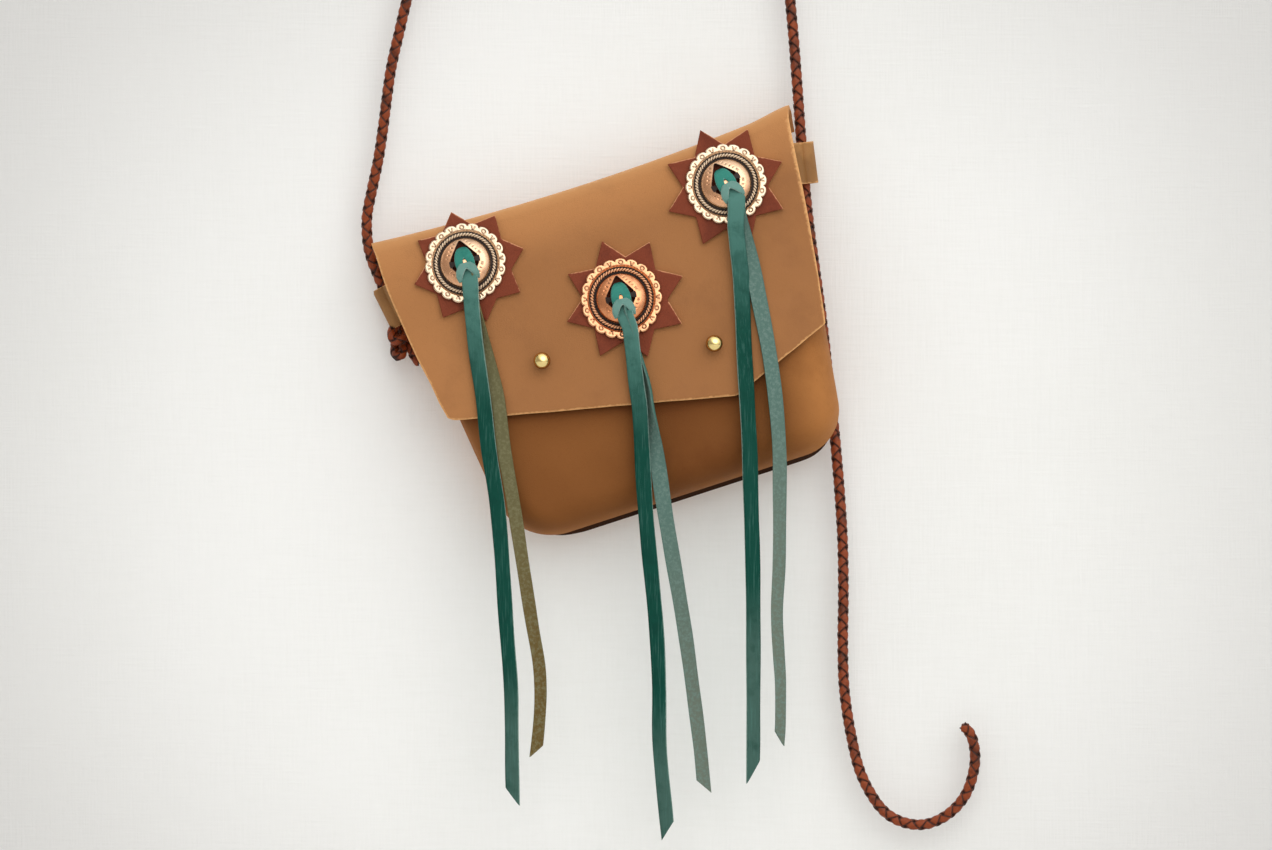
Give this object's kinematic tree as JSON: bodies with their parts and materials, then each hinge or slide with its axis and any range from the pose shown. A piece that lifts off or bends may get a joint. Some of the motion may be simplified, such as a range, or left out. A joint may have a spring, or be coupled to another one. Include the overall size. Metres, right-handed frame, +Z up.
{
  "type": "leather shoulder bag",
  "caption": "Small flat leather shoulder bag hung by its braided strap, with a flap that opens over ball studs, scalloped copper conchos on leather stars and hanging lace tails.",
  "frame": {"origin": "underside of the strap's crown, where a hook carries the bag", "axes": "+Z up, +Y towards the wall behind the bag, +X to the viewer's right; the bag hangs tilted by 18 degrees as pictured"},
  "size_m": [0.2884, 0.0445, 0.5228],
  "materials": {
    "tan_leather": "smooth light tan vegetable-tanned leather with raw edges",
    "pouch_leather": "soft mid brown leather, turned edges",
    "star_leather": "dark red-brown leather with pale raw edges",
    "lace_leather": "teal grain face with a pale flesh side",
    "strap_leather": "reddish brown round braid, satin",
    "concho_copper": "antiqued stamped copper with dark recesses",
    "stud_brass": "polished gold colour",
    "screw_steel": "plain"
  },
  "bodies": {
    "root": {"pouch_back": "pouch_leather", "pouch_front": "pouch_leather", "stud_left": "stud_brass", "stud_right": "stud_brass", "stud_screw_left": "screw_steel", "stud_screw_right": "screw_steel", "keeper_left": "tan_leather", "keeper_right": "tan_leather", "strap": "strap_leather", "strap_knot": "strap_leather"},
    "flap": {"flap": "tan_leather", "star_left": "star_leather", "star_middle": "star_leather", "star_right": "star_leather", "concho_left": "concho_copper", "concho_middle": "concho_copper", "concho_right": "concho_copper", "lace_left": "lace_leather", "lace_middle": "lace_leather", "lace_right": "lace_leather"}
  },
  "joints": [
    {"name": "flap_fold", "type": "hinge", "parent": "root", "child": "flap", "pos_m": [-0.10903, -0.009, -0.25271], "axis": [-0.9511, 0, -0.309], "range_deg": [0, 155]}
  ]
}
